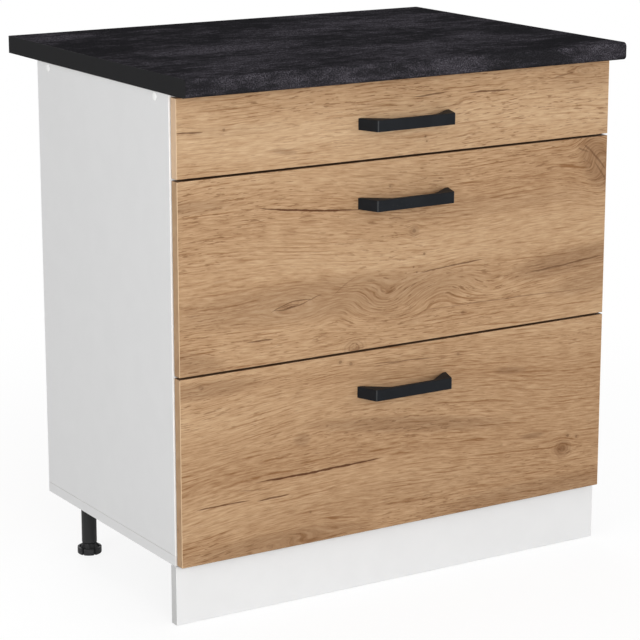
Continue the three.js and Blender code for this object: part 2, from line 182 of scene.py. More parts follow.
# %% Helpers that start, close and place a node group
def new_group(name, outputs, **numbers):
    """Starts a group that reads a place and some numbers: returns its input sockets and its exit."""
    tree = bpy.data.node_groups.new(name, "ShaderNodeTree")
    tree.interface.new_socket("Vector", in_out="INPUT", socket_type="NodeSocketVector")
    for socket, value in numbers.items():
        made = tree.interface.new_socket(socket, in_out="INPUT", socket_type="NodeSocketFloat")
        made.default_value = value
    for socket in outputs:
        kind = "Color" if socket == "Color" else "Float"
        tree.interface.new_socket(socket, in_out="OUTPUT", socket_type="NodeSocket" + kind)
    return tree.nodes.new("NodeGroupInput").outputs, tree.nodes.new("NodeGroupOutput")


def finish_group(leave, **outputs):
    """Links what a group hands out to its exit, and returns the group."""
    tree = leave.id_data
    for socket, value in outputs.items():
        tree.links.new(value, leave.inputs[socket])
    arrange(tree)
    print("group", tree.name, "has", len(tree.nodes), "nodes")
    return tree


def use(group, **sockets):
    """Places a node group and returns its outputs."""
    return add("Group", sockets, node_tree=group).outputs


# %% [markdown]
# ## Oak grain
# The fronts are faced with a printed oak decor. Its figure has layers: soft bands of growth, thin
# threads and short dark pores, all of them noise that is stretched along X until it turns into
# long threads, and growth rings, which are a wave over the height. The rings crowd together in
# places, and each line breaks off and starts again. A slow drift and a small ripple are added to
# the height before anything is drawn, which bends all layers together, as real grain does. The
# input called Bend lets a knot push the same threads apart, and Tone makes a board lighter.


# %% The oak grain group
RINGS = 150  # growth rings per metre of height, where they are even
THREADS = (  # how fine along the board, how fine across it, detail, strength
    (1.2, 13.0, 1.0, 0.46),
    (4.0, 60.0, 2.0, 0.26),
    (34.0, 420.0, 3.0, 0.94),
)
GRAIN_COLOURS = {0.10: (138, 98, 63), 0.50: (184, 149, 113), 0.85: (209, 178, 142)}
PORE_COLOUR = (120, 82, 50)
DRIFT_HEIGHT, RIPPLE_HEIGHT = 45 * MM, 6 * MM  # how far the grain rises and falls
CROWDING_TURNS, WOBBLE_TURNS = 60.0, 5.0  # how far the rings are shifted, in radians


def make_oak_grain():
    given, leave = new_group("oak_grain", ("Color", "Roughness", "Height"), Bend=0.0, Tone=0.5)
    place = given["Vector"]
    drift = noise(stretched(place, 1.8, 1.8, 5.0), detail=1.0)
    ripple = noise(stretched(place, 11.0, 11.0, 36.0))
    rise = shaken(shaken(given["Bend"], drift, DRIFT_HEIGHT), ripple, RIPPLE_HEIGHT)
    lift = add("CombineXYZ", {"Z": rise}).outputs[0]
    bent = add("VectorMath", {0: place, 1: lift}, operation="ADD").outputs[0]

    tone = given["Tone"]
    for along, across, detail, strength in THREADS:
        threads = noise(stretched(bent, along, along, across), detail=detail, roughness=0.6)
        tone = shaken(tone, threads, strength)

    turns = calc("MULTIPLY", add("SeparateXYZ", {"Vector": bent}).outputs["Z"], math.tau * RINGS)
    crowding = noise(stretched(bent, 1.3, 1.3, 10.0))
    wobble = noise(stretched(place, 16.0, 16.0, 110.0))
    turns = calc("MULTIPLY_ADD", wobble, WOBBLE_TURNS, turns)
    turns = calc("MULTIPLY_ADD", crowding, CROWDING_TURNS, turns)
    broken = noise(stretched(bent, 8.0, 8.0, 90.0))
    ring = levels(calc("SINE", turns), 0.30, 1.0)
    ring = calc("MULTIPLY", ring, levels(broken, 0.46, 0.70, 0.02, 0.26))
    tone = calc("SUBTRACT", tone, ring)

    ramp = add("ValToRGB", {"Fac": calc("ADD", tone, 0.02)})
    stops = ramp.color_ramp.elements
    stops.new(0.50)
    for stop, (position, colour) in zip(stops, GRAIN_COLOURS.items()):
        stop.position, stop.color = position, paint(*colour)

    dashes = noise(stretched(bent, 55.0, 55.0, 520.0))
    busy = noise(stretched(place, 3.0, 3.0, 9.0), detail=1.0)
    pores = calc("MULTIPLY", levels(dashes, 0.58, 0.68), levels(busy, 0.35, 0.65, 0.20, 0.70))
    return finish_group(
        leave,
        Color=blend(pores, ramp.outputs[0], paint(*PORE_COLOUR)),
        Roughness=calc("MULTIPLY_ADD", tone, -0.10, 0.62),
        Height=calc("MULTIPLY_ADD", calc("ADD", pores, ring), -1.5, threads),
    )


oak_grain = make_oak_grain()


# %% [markdown]
# ## Cracks and knots in the decor
# The decor shows a few long dark cracks and some knots. A crack is a line with a slope and a bow
# that thins out to both ends. A knot is an oval: round it the threads are pulled apart or lifted,
# and it can have a dark heart, faint circles like the rings of a branch, and a darker halo. Both
# are groups that read X and Z on the face of the front, so each one is placed by giving its
# middle.


# %% The crack and knot groups
CRACK_WANDER = 3.5 * MM  # how far a crack strays from its line
CRACK_SOFTNESS = 0.4  # the share of its width over which it fades
KNOT_REACH = 0.35  # how fast the pull of a knot fades outside its oval
KNOT_RAGGED = 1.3  # how uneven its rim is
CIRCLE_TURNS, CIRCLE_SWAY = 11.0, 9.0  # circles per radius and how they stray, in radians


def across_face(given):
    """Distance along and across from the middle of a mark, with its slope taken out."""
    axes = add("SeparateXYZ", {"Vector": given["Vector"]}).outputs
    along = calc("SUBTRACT", axes["X"], given["X"])
    across = calc("SUBTRACT", axes["Z"], given["Z"])
    return along, calc("SUBTRACT", across, calc("MULTIPLY", along, given["Slope"]))


def make_decor_crack():
    given, leave = new_group(
        "decor_crack", ["Shade"], X=0.0, Z=0.0, Half=0.05, Slope=0.0, Bow=0.0, Width=0.001
    )
    place = given["Vector"]
    along, across = across_face(given)
    share = calc("DIVIDE", along, given["Half"])
    square = calc("MULTIPLY", share, share)
    bowed = calc("SUBTRACT", across, calc("MULTIPLY", given["Bow"], square))
    bowed = shaken(bowed, noise(stretched(place, 30.0, 30.0, 8.0)), CRACK_WANDER)
    taper = calc("SUBTRACT", 1.0, calc("MULTIPLY", square, square), clamp=True)
    uneven = levels(noise(place, 60.0), 0.3, 0.7, 0.9, 1.4)
    half_width = joined("MULTIPLY", taper, given["Width"], uneven)
    inside = calc("SUBTRACT", half_width, calc("ABSOLUTE", bowed))
    soft_edge = calc("MULTIPLY", given["Width"], CRACK_SOFTNESS)
    return finish_group(leave, Shade=calc("DIVIDE", inside, soft_edge, clamp=True))


def make_decor_knot():
    given, leave = new_group(
        "decor_knot", ("Bend", "Shade"), X=0.0, Z=0.0, Long=0.02, Tall=0.008, Slope=0.0,
        Spread=0.0, Lift=0.0, Heart=0.0, Circles=0.0, Halo=0.0,
    )
    place = given["Vector"]
    along, across = across_face(given)
    a = calc("DIVIDE", along, given["Long"])
    b = calc("DIVIDE", across, given["Tall"])
    far = calc("ADD", calc("MULTIPLY", a, a), calc("MULTIPLY", b, b))
    near = calc("EXPONENT", calc("MULTIPLY", far, -KNOT_REACH))
    pull = calc("MULTIPLY_ADD", across, given["Spread"], given["Lift"])

    ragged = noise(stretched(place, 120.0, 120.0, 330.0), detail=3.0, roughness=0.7)
    edge = shaken(far, ragged, KNOT_RAGGED)
    radius = calc("SQRT", calc("MAXIMUM", edge, 0.0))
    sway = noise(stretched(place, 40.0, 40.0, 60.0))
    strayed = calc("MULTIPLY", sway, CIRCLE_SWAY)
    waves = calc("SINE", calc("MULTIPLY_ADD", radius, CIRCLE_TURNS, strayed))
    heart = calc("MULTIPLY", levels(edge, 0.10, 0.75, 1.0, 0.0), given["Heart"])
    circles = joined("MULTIPLY", levels(waves, -0.2, 1.0), near, given["Circles"])
    halo = calc("MULTIPLY", levels(edge, 0.2, 4.0, 1.0, 0.0), given["Halo"])
    shade = calc("MAXIMUM", heart, calc("ADD", circles, halo))
    return finish_group(leave, Bend=joined("MULTIPLY", pull, near, -1.0), Shade=shade)


decor_crack, decor_knot = make_decor_crack(), make_decor_knot()


# %% [markdown]
# ## Moulded texture and handling marks
# Melamine, powder coat and moulded plastic are never mirror flat: they carry a fine skin of
# bumps, which breaks up reflections. Handling marks are cloudy patches where a surface was wiped
# or touched, a little glossier than the rest, with a few specks of dust. Two small groups give
# both, and each finish sets its own scale.

# %% The skin and the marks groups
CLOUD_SCALE = 0.014  # how coarse the clouds of a finish are, against its skin


def make_fine_skin():
    given, leave = new_group("fine_skin", ("Height", "Tone"), Scale=900.0)
    bumps = noise(given["Vector"], given["Scale"], roughness=0.6)
    cloud = noise(given["Vector"], calc("MULTIPLY", given["Scale"], CLOUD_SCALE), detail=3.0)
    return finish_group(leave, Height=bumps, Tone=levels(cloud, 0.3, 0.7))


def make_handling_marks():
    given, leave = new_group("handling_marks", ("Wiped", "Dust"), Amount=0.5)
    place = given["Vector"]
    wiped = noise(stretched(place, 3.0, 3.0, 6.5), detail=3.0, roughness=0.65)
    specks = noise(place, 420.0, detail=1.0)
    where = noise(place, 7.0)
    return finish_group(
        leave,
        Wiped=calc("MULTIPLY", levels(wiped, 0.48, 0.72), given["Amount"]),
        Dust=joined("MULTIPLY", levels(specks, 0.70, 0.78), levels(where, 0.5, 0.75), given["Amount"]),
    )


fine_skin, handling_marks = make_fine_skin(), make_handling_marks()


# %% [markdown]
# ## The finishes
# Every finish starts the same way: one Principled shader, the place on the piece, and a Bump node
# where there is relief. Numbers that are the same all over a surface are written on the shader,
# and only what changes over the surface comes through nodes. The place is read from Object
# coordinates. No piece is moved or scaled as an object, so these are real metres, and a grain
# line runs on from one face of a board to the next.

# %% Helpers that start a finish and close it
finishes = {}
BUMP_DEPTH = 0.2 * MM
DUST_COLOUR, DUST_COVER = (196, 192, 186), 0.25
WIPED_GLOSS = 0.07  # how much roughness a wiped patch loses


def new_finish(name, shine, metallic=0.0):
    """A material with one Principled shader: returns the shader and the place on the piece."""
    material = bpy.data.materials.new(name)
    material.use_nodes = True
    shader = material.node_tree.nodes["Principled BSDF"]
    shader.inputs["Specular IOR Level"].default_value = shine
    shader.inputs["Metallic"].default_value = metallic
    finishes[name] = material
    return shader, add("TexCoord", tree=material.node_tree).outputs["Object"]


def wear(shader, place, colour, roughness, height, bump, marks=0.5):
    """Joins colour, roughness and relief to the shader, with handling marks over them."""
    touched = use(handling_marks, Vector=place, Amount=marks)
    relief = {"Height": height, "Strength": bump, "Distance": BUMP_DEPTH}
    joins = {
        "Base Color": blend(calc("MULTIPLY", touched["Dust"], DUST_COVER), colour, paint(*DUST_COLOUR)),
        "Roughness": calc("MULTIPLY_ADD", touched["Wiped"], -WIPED_GLOSS, roughness),
        "Normal": add("Bump", relief).outputs[0],
    }
    for socket, value in joins.items():
        shader.id_data.links.new(value, shader.inputs[socket])
    arrange(shader.id_data)


# %% [markdown]
# ## Oak on the three fronts
# The three fronts are cut from different places in the decor, so each gets its own material: the
# grain group reads a shifted place, and cracks and knots are set where this cabinet has them. The
# shades of all marks are joined with Maximum, so that marks that cross don't add up to black.
# Places and lengths of marks are written in millimetres. A speck and a shadow are two kinds of
# knot that need fewer numbers, and a crack is given by its two ends.

# %% The oak of one front
OAK_SHINE, OAK_BUMP = 0.15, 0.25
CRACK_COLOUR, CRACK_DEPTH = (86, 50, 26), 0.4


def knot(x, z, length, tall, slope=0.0, lift=0.0, **strengths):
    """What the knot group is given, with its lengths in mm."""
    lengths = {"X": x, "Z": z, "Long": length, "Tall": tall, "Lift": lift}
    return {name: value * MM for name, value in lengths.items()} | {"Slope": slope} | strengths


def speck(x, z, size=3.0, dark=0.6):
    """A pin knot: a small dark heart that hardly moves the grain."""
    return knot(x, z, size, size * 0.85, Heart=dark, Halo=0.12, Spread=0.3)


def shadow(x, z, length, tall, dark, slope=0.0):
    """A darker, warmer cloud in the decor."""
    return knot(x, z, length, tall, slope, Halo=dark)


def crack(x0, z0, x1, z1, bow, width):
    """What the crack group is given for a crack between two places, with all lengths in mm."""
    lengths = {"X": (x0 + x1) / 2, "Z": (z0 + z1 + bow) / 2, "Half": abs(x1 - x0) / 2, "Bow": -bow,
               "Width": width}
    return {name: value * MM for name, value in lengths.items()} | {"Slope": (z1 - z0) / (x1 - x0)}


def oak_front(name, shift, tone, knots, cracks):
    """The oak of one front. A crack is given by the numbers of crack and then by how dark it is."""
    shader, place = new_finish(name, OAK_SHINE)
    placed = [use(decor_knot, Vector=place, **mark) for mark in knots]
    shades = [made["Shade"] for made in placed]
    for *lengths, dark in cracks:
        made = use(decor_crack, Vector=place, **crack(*lengths))
        shades.append(calc("MULTIPLY", made["Shade"], dark))
    shade = joined("MAXIMUM", *shades)
    moved = add("Mapping", {"Vector": place, "Location": shift}).outputs[0]
    oak = use(oak_grain, Vector=moved, Bend=joined("ADD", *(made["Bend"] for made in placed)), Tone=tone)
    colour = blend(shade, oak["Color"], paint(*CRACK_COLOUR))
    height = calc("MULTIPLY_ADD", shade, -CRACK_DEPTH, oak["Height"])
    wear(shader, place, colour, oak["Roughness"], height, OAK_BUMP)
    print(name, "has", len(knots), "knots and", len(cracks), "cracks")


# %% The top front
oak_front(
    "oak_of_top_front", shift=(3.1, 0.0, 1.7), tone=0.56,
    knots=[
        speck(-318, 763, 4, 0.5), speck(40, 721.5), speck(42.5, 714, 2.6),
        shadow(-215, 721, 14, 3, 0.3, -0.15), shadow(-300, 760, 60, 6, 0.08),
        shadow(345, 788, 45, 12, 0.1), knot(350, 802, 20, 6, Spread=0.8, Circles=0.18, Halo=0.1),
    ],
    cracks=[
        (-402, 764, -352, 762, 0, 1.2, 0.8), (12, 784, 78, 788, 0, 1.2, 0.7),
        (115, 784, 204, 782, 1, 1.3, 0.8), (286, 795, 330, 801, 0, 1, 0.5),
        (312, 774, 352, 777, 0, 0.9, 0.45), (30, 793, 62, 792, 0, 0.8, 0.4),
    ],
)

# %% The middle front
oak_front(
    "oak_of_middle_front", shift=(-2.4, 0.0, 5.3), tone=0.47,
    knots=[
        knot(-330, 640, 160, 80, lift=34), knot(-200, 482, 34, 8.5, 0.14, Spread=0.9, Halo=0.2),
        knot(-203, 481, 17, 2.6, 0.12, Heart=0.8), knot(-100, 474, 34, 16, 0.4, lift=16, Circles=0.1),
        knot(-30, 466, 50, 22, -0.3, lift=-22, Circles=0.12, Halo=0.06),
        knot(75, 474, 45, 18, 0.3, lift=18, Circles=0.08), knot(160, 470, 45, 14, -0.2, lift=-10),
        knot(378, 652, 24, 28, -0.6, lift=10, Spread=0.8, Halo=0.3),
        knot(20, 575, 6, 6, Spread=0.8, Heart=0.55, Halo=0.28), speck(40, 536, 3.4), speck(20, 517, 2.6),
        speck(26, 508, 2.6), speck(115, 432, 5, 0.35), speck(-25, 649, 3.4, 0.45),
        knot(-90, 402, 12, 8, Spread=0.9, Circles=0.35, Halo=0.12), shadow(-130, 487, 190, 21, 0.22),
        shadow(-380, 416, 40, 12, 0.26, -0.2), shadow(330, 492, 80, 14, 0.32, 0.08),
        shadow(370, 455, 50, 14, 0.22, 0.1), shadow(-385, 652, 50, 7, 0.22),
        shadow(150, 602, 160, 10, 0.1),
    ],
    cracks=[
        (-268, 639.5, -70, 617, -3, 1.6, 0.95), (-284, 435.5, -234, 435, 0, 1.2, 0.75),
        (26, 506, 158, 515, 1, 1.3, 0.75), (238, 481, 410, 495, -1, 1.6, 0.75),
        (250, 488, 340, 490, 1, 1, 0.45), (20, 446, 400, 441, 2, 0.9, 0.45),
        (338, 677, 362, 668, 0, 1.8, 0.55), (350, 682, 378, 658, 2, 2.4, 0.6),
        (362, 672, 397, 636, 2, 2.8, 0.65), (372, 652, 398, 618, 0, 2.6, 0.6),
        (348, 660, 368, 646, 0, 1.8, 0.4), (-132, 488, -84, 516, 4, 1.2, 0.4),
        (-242, 479, -162, 491, 7.5, 1, 0.75), (-240, 477, -164, 488, -5, 1, 0.7),
        (-172, 487, -148, 494, 2, 1, 0.6), (-232, 481, -186, 484, 3, 0.9, 0.6),
    ],
)

# %% The lower front
oak_front(
    "oak_of_lower_front", shift=(5.7, 0.0, -3.9), tone=0.44,
    knots=[
        knot(-160, 300, 200, 90, lift=44), knot(-362, 377, 8, 6, Spread=0.8, Heart=0.45, Halo=0.25),
        speck(-115, 382, 4.5, 0.5), speck(-96, 377, 5, 0.45), speck(107, 365, 4.8, 0.4),
        knot(322, 173, 11, 9, Spread=0.9, Heart=0.4, Circles=0.25, Halo=0.25),
        speck(332, 194, 4.2, 0.55), speck(350, 189, 3.8, 0.5), speck(-170, 148, 3.4, 0.4),
        knot(-200, 106, 50, 12, 0.1, Spread=0.9, Circles=0.3, Halo=0.12), shadow(-185, 268, 10, 7, 0.26),
        shadow(210, 323, 20, 4, 0.3, -0.1), shadow(20, 262, 120, 9, 0.3, -0.14),
        shadow(258, 205, 16, 3.5, 0.34), shadow(-220, 108, 100, 12, 0.28),
        shadow(270, 108, 150, 13, 0.26), shadow(-350, 372, 60, 9, 0.26), shadow(-20, 150, 160, 20, 0.07),
        shadow(140, 246, 40, 6, 0.2, -0.1),
    ],
    cracks=[
        (-274, 212, -30, 215, -2, 1.8, 0.95), (-374, 186, -276, 186, 1, 1.3, 0.8),
        (-268, 182, -206, 184, 0, 1.3, 0.8), (-58, 371, 74, 365, 0, 1, 0.5),
        (-58, 366, 10, 368, 0, 0.8, 0.4), (-300, 204, -240, 198, 0, 0.8, 0.35),
        (150, 155, 230, 150, 0, 0.8, 0.35),
    ],
)

# %% [markdown]
# ## The edging of the fronts
# The narrow sides of a front have strips of edging, which are printed apart from the face. On the
# two ends the grain runs upright, and the rounding there gets a paler mix of the same grain: a
# painted highlight where the rounding catches the light. The end strips of the top front are
# painted paler too, as if they caught more light. The level strips lie in the gaps between the
# fronts, where light hardly reaches, and they get a dark brown as painted shade, so the gaps are dark.


# %% The strips of edging
def oak_edging(name, amount, tint, turn):
    """Oak grain, turned by some degrees and mixed with a tint."""
    shader, place = new_finish(name, OAK_SHINE)
    turned = add("Mapping", {"Vector": place, "Rotation": (0.0, math.radians(turn), 0.0)}).outputs[0]
    oak = use(oak_grain, Vector=turned, Tone=0.5)
    colour = blend(amount, oak["Color"], paint(*tint))
    wear(shader, place, colour, oak["Roughness"], oak["Height"], OAK_BUMP)


oak_edging("oak_edging", 0.60, (180, 147, 114), turn=90)
# The end strips of the top front are painted paler, as if they caught more light.
oak_edging("oak_edging_painted_light_top_front", 0.70, (230, 199, 168), turn=90)
# A paler mix on the rounding of the upright edges: a painted highlight.
oak_edging("oak_edging_painted_highlight", 0.70, (224, 196, 162), turn=90)
# A dark brown for the level strips in the gaps: painted shade.
oak_edging("oak_edging_painted_shade", 0.75, (66, 36, 18), turn=0)
print("oak finishes:", list(finishes))

# %% [markdown]
# ## The worktop's stone look
# The top is a high pressure laminate printed like dark slate: almost black, with cloudy patches
# of purple grey that break up into grains of a millimetre or two. Seen at a low angle the patches
# shrink to streaks, and on the rounded front edge the grains show face on. One pattern gives
# both, because the view does the squeezing. The laminate is so matt that even at a low angle it
# shows nothing of the white room, so its shader has no reflection at all.

# %% Stone laminate
SLATE = paint(30, 30, 32), paint(36, 35, 38)
PATCH_COLOUR, PATCH_COVER = paint(50, 47, 52), 0.35
GRAIN_COLOUR, GRAIN_COVER = paint(106, 102, 110), 0.70


def stone_laminate():
    shader, place = new_finish("stone_laminate", shine=0.0)
    clouds = noise(stretched(place, 5.0, 9.0, 9.0), detail=3.0, roughness=0.6)
    veins = noise(stretched(place, 34.0, 100.0, 100.0), detail=4.0, roughness=0.75)
    grains = noise(place, 520.0, roughness=0.75)
    patch = levels(calc("ADD", veins, clouds), 0.86, 1.24, 0.12, 1.0)
    grainy = calc("MULTIPLY", levels(grains, 0.44, 0.60), patch)
    colour = blend(levels(clouds, 0.35, 0.65), *SLATE)
    colour = blend(calc("MULTIPLY", patch, PATCH_COVER), colour, PATCH_COLOUR)
    colour = blend(calc("MULTIPLY", grainy, GRAIN_COVER), colour, GRAIN_COLOUR)
    rough = calc("MULTIPLY_ADD", grainy, 0.1, 0.70)
    wear(shader, place, colour, rough, calc("ADD", grains, patch), bump=0.2, marks=0.4)


stone_laminate()
print("finishes so far:", len(finishes))

# %% [markdown]
# ## Boards, plastics and paints
# The carcass is chipboard with white melamine on it. The legs, clips and feet are moulded in
# black plastic, and the handles are cast metal with a black powder coat, which has a finer skin
# than the plastic. The drawer sides are steel with a light grey powder coat. The rollers, caps
# and buffers are nylon and soft rubber, and the strips on the ends of the worktop are plain dark
# plastic. All of these are one colour with a faint cloudiness and a fine skin, so one table gives
# their numbers.

# %% Plain boards, plastics and paints
PLAIN_FINISHES = {
    # colour, lighter colour, roughness, how fine the skin is, its bump, shine, handling marks
    "worktop_strip": ((39, 39, 40), (42, 42, 43), 0.60, 1400.0, 0.15, 0.02, 0.3),
    "white_melamine": ((233, 233, 233), (235, 235, 235), 0.45, 1500.0, 0.10, 0.25, 0.15),
    "pale_grey_melamine": ((214, 214, 211), (221, 221, 218), 0.45, 1500.0, 0.10, 0.35, 0.5),
    # A whiter edge band for the front edges of the sides: partly its own white, partly a painted
    # highlight on its rounding.
    "white_edging_and_painted_highlight": ((247, 247, 246), (249, 249, 248), 0.35, 1500.0, 0.05, 0.5, 0.15),
    # A greyer white for the ends of the plinth: painted shade, low down and turned from the light.
    "plinth_end_painted_shade": ((207, 207, 206), (212, 212, 211), 0.50, 1500.0, 0.10, 0.25, 0.15),
    "white_lacquer": ((226, 226, 223), (232, 232, 229), 0.50, 700.0, 0.20, 0.35, 0.5),
    "black_plastic": ((50, 50, 51), (57, 57, 58), 0.50, 1100.0, 0.30, 0.12, 0.8),
    "black_powder_coat": ((27, 29, 32), (31, 33, 36), 0.48, 2200.0, 0.20, 0.06, 0.4),
    # A paler, glossier black for the outer corners of the handles: a painted highlight.
    "powder_coat_painted_highlight": ((30, 32, 34), (42, 44, 46), 0.40, 2200.0, 0.10, 0.3, 0.2),
    "grey_painted_steel": ((176, 179, 182), (183, 186, 189), 0.42, 1800.0, 0.25, 0.45, 0.5),
    # The caps are whiter than the nylon of the rollers: partly white plastic, partly a painted highlight.
    "glossy_cap_painted_highlight": ((249, 249, 248), (251, 251, 250), 0.22, 900.0, 0.05, 0.9, 0.2),
    "white_nylon": ((233, 233, 229), (240, 240, 237), 0.36, 900.0, 0.08, 0.45, 0.5),
    "clear_rubber": ((205, 205, 200), (214, 214, 209), 0.30, 900.0, 0.05, 0.5, 0.5),
}
for name, (colour, lighter, roughness, scale, bump, shine, marks) in PLAIN_FINISHES.items():
    shader, place = new_finish(name, shine)
    skin = use(fine_skin, Vector=place, Scale=scale)
    tinted = blend(skin["Tone"], paint(*colour), paint(*lighter))
    rough = calc("MULTIPLY_ADD", skin["Tone"], 0.08, roughness)
    wear(shader, place, tinted, rough, skin["Height"], bump, marks)
print("plain finishes:", len(PLAIN_FINISHES))

# %% [markdown]
# ## Cut boards
# Where a board isn't edged its cut side shows pressed wood chips, drawn with Voronoi cells: the
# colour of a cell says which of three shades a chip has, and the distance to its middle puts a pit
# between chips. Hardboard and the backing paper of the worktop are the same with finer chips.


# %% Chipboard, hardboard and backing paper
def raw_board(name, dark, mid, light, chip):
    """Pressed chips of three shades with dark pits between them."""
    shader, place = new_finish(name, shine=0.15)
    chips = add("TexVoronoi", {"Vector": stretched(place, 1.0, 1.0, 2.2), "Scale": chip}).outputs
    which = add("SeparateXYZ", {"Vector": chips["Color"]}).outputs
    fibre = noise(place, chip * 3.0, detail=3.0)
    colour = blend(levels(which["X"], 0.2, 0.8), paint(*mid), paint(*light))
    colour = blend(levels(which["Y"], 0.72, 0.95, 0.0, 0.8), colour, paint(*dark))
    height = calc("SUBTRACT", fibre, levels(chips["Distance"], 0.4, 0.7))
    wear(shader, place, colour, calc("MULTIPLY_ADD", fibre, 0.1, 0.8), height, bump=0.8)


raw_board("raw_chipboard", (110, 80, 52), (168, 134, 98), (198, 168, 130), chip=420.0)
raw_board("raw_hardboard", (112, 80, 54), (140, 104, 73), (152, 116, 84), chip=900.0)
raw_board("backing_paper", (150, 138, 122), (168, 158, 142), (176, 166, 150), chip=1200.0)
print("finishes with the raw boards:", len(finishes))


# %% [markdown]
# ## Zinc plated steel
# The runners and screws are zinc plated: the plating grows in patches that each lean their own
# way, so its shade and gloss change from patch to patch. The metal is fully metallic, so its
# colour is the colour of what it reflects.

# %% Zinc plating
def zinc_plating():
    shader, place = new_finish("zinc_plating", shine=0.5, metallic=1.0)
    cells = add("TexVoronoi", {"Vector": place, "Scale": 160.0}).outputs["Color"]
    patch = add("SeparateXYZ", {"Vector": cells}).outputs["X"]
    brushed = noise(stretched(place, 300.0, 20.0, 900.0))
    colour = blend(patch, paint(168, 170, 172), paint(194, 196, 198))
    rough = calc("MULTIPLY_ADD", brushed, 0.08, calc("MULTIPLY_ADD", patch, 0.10, 0.34))
    wear(shader, place, colour, rough, brushed, bump=0.2)


zinc_plating()
print("finishes:", len(finishes))

# %% [markdown]
# ## Making pieces
# A piece is built in a bmesh, which is Blender's editable mesh without an object. One helper turns
# it into an object: it faces the normals outwards, hands over the finishes, and makes the piece
# ride on the body that it moves with. Flat boards keep flat shading. Round pieces are shaded
# smooth, with sharp edges kept wherever two faces meet at more than the given angle. Three more
# helpers do what most pieces need: they find sharp edges, round them, and draw a flat face out to
# a thickness.


# %% Helpers for pieces
def body_of(node):
    """The name of the body that a solid moves with."""
    return frame["nodes"][node]["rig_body"]


def new_piece(name, bm, used, node=None, body=None, smooth=None):
    """Makes the object of a bmesh. With a node it takes that node's place, and else it rides on body."""
    bmesh.ops.recalc_face_normals(bm, faces=bm.faces[:])
    mesh = bpy.data.meshes.new(name)
    bm.to_mesh(mesh)
    bm.free()
    for finish in used:
        mesh.materials.append(finishes[finish])
    if smooth is not None:
        mesh.polygons.foreach_set("use_smooth", [True] * len(mesh.polygons))
        mesh.set_sharp_from_angle(angle=math.radians(smooth))
    made = bpy.data.objects.new(name, mesh)
    bpy.context.scene.collection.objects.link(made)
    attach(made, body or body_of(node))
    if node:
        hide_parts(node)
    return made


def sharper_than(bm, degrees):
    """The edges where two faces meet at more than an angle."""
    return [edge for edge in bm.edges if edge.calc_face_angle(0.0) > math.radians(degrees)]


def round_off(bm, geom, offset, steps, affect="EDGES", clamp=False):
    """Rounds edges or corners. A profile of 0.5 is a true arc, and a material of -1 keeps finishes."""
    bmesh.ops.bevel(
        bm, geom=geom, offset=offset, segments=steps, profile=0.5, affect=affect, material=-1,
        clamp_overlap=clamp,
    )


def draw_out(bm, faces, along):
    """Gives flat faces a thickness."""
    grown = bmesh.ops.extrude_face_region(bm, geom=faces)["geom"]
    moved = [item for item in grown if isinstance(item, bmesh.types.BMVert)]
    bmesh.ops.translate(bm, vec=along, verts=moved)


# %% [markdown]
# ## Boards with eased edges
# A sawn and edged board looks like a box, but its edges are never knife sharp: edging is rounded
# by half a millimetre or more, and that rounding catches a thin line of light. So a board starts
# as a cube brought to the size of its solid, and every edge gets a small bevel. Sides that aren't
# edged are given the raw chipboard finish, chosen by the way a face looks.


# %% Helpers that make a board
def box_mesh(low, high):
    bm = bmesh.new()
    bmesh.ops.create_cube(bm, size=1.0)
    bmesh.ops.scale(bm, vec=high - low, verts=bm.verts)
    bmesh.ops.translate(bm, vec=(low + high) / 2, verts=bm.verts)
    return bm


def looks(face, direction):
    """True where a face looks mostly in a direction such as "+Y"."""
    axis = "XYZ".index(direction[1])
    return face.normal[axis] * (1 if direction[0] == "+" else -1) > 0.7


def board(name, node, finish, ease=0.4 * MM, others=None):
    """A board in the place of a node. Others gives more finishes, each with the sides it covers."""
    bm = box_mesh(*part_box(node))
    round_off(bm, bm.edges[:], ease, steps=2)
    bm.normal_update()
    others = others or {}
    for index, sides in enumerate(others.values(), start=1):
        for face in bm.faces:
            if any(looks(face, side) for side in sides):
                face.material_index = index
    return new_piece(name, bm, [finish, *others], node=node)


# %% The carcass boards
SIDES = {"left": -1, "right": 1}
LEVELS = ("lower", "middle", "top")
PLACES = [f"{place}_{side}" for place in ("front", "rear") for side in SIDES]

# The front edges of the sides get a whiter edge band, partly a painted highlight.
for side in SIDES:
    board(f"{side}_side_board", f"side_panel_{side}", "white_melamine", ease=0.8 * MM,
          others={"raw_chipboard": ("+Y", "+Z", "-Z"), "white_edging_and_painted_highlight": ("-Y",)})
board("bottom_board", "bottom_panel", "white_melamine", others={"raw_chipboard": ("+Y",)})
for place, inner_side in {"front": "+Y", "rear": "-Y"}.items():
    board(f"{place}_top_rail", f"top_rail_{place}", "white_melamine",
          others={"raw_chipboard": ("+X", "-X", inner_side)})
# The ends of the plinth board get a greyer white as painted shade.
board("plinth_face_board", "plinth_board", "white_melamine", ease=0.6 * MM,
      others={"plinth_end_painted_shade": ("+X", "-X")})
board("rear_hardboard", "back_panel", "white_lacquer", ease=0.3 * MM,
      others={"raw_hardboard": ("+Y", "+X", "-X", "+Z", "-Z")})

# %% [markdown]
# ## The drawer fronts
# Each front is a 16 mm board with the decor on its face and a strip of edging glued round it. The
# upright edges are rounded to a millimetre and the level ones to a little less. Four finishes
# share the mesh: the decor, the upright edging on the two ends, a paler one on the rounding of
# the upright edges as a painted highlight, and a dark brown one on top and below as painted shade.

# %% The three fronts
UPRIGHT_ROUNDING, LEVEL_ROUNDING = 1.0 * MM, 0.8 * MM
DECOR, UPRIGHT_EDGING, PAINTED_HIGHLIGHT_ROUNDING, PAINTED_SHADE_LEVEL_EDGING = range(4)


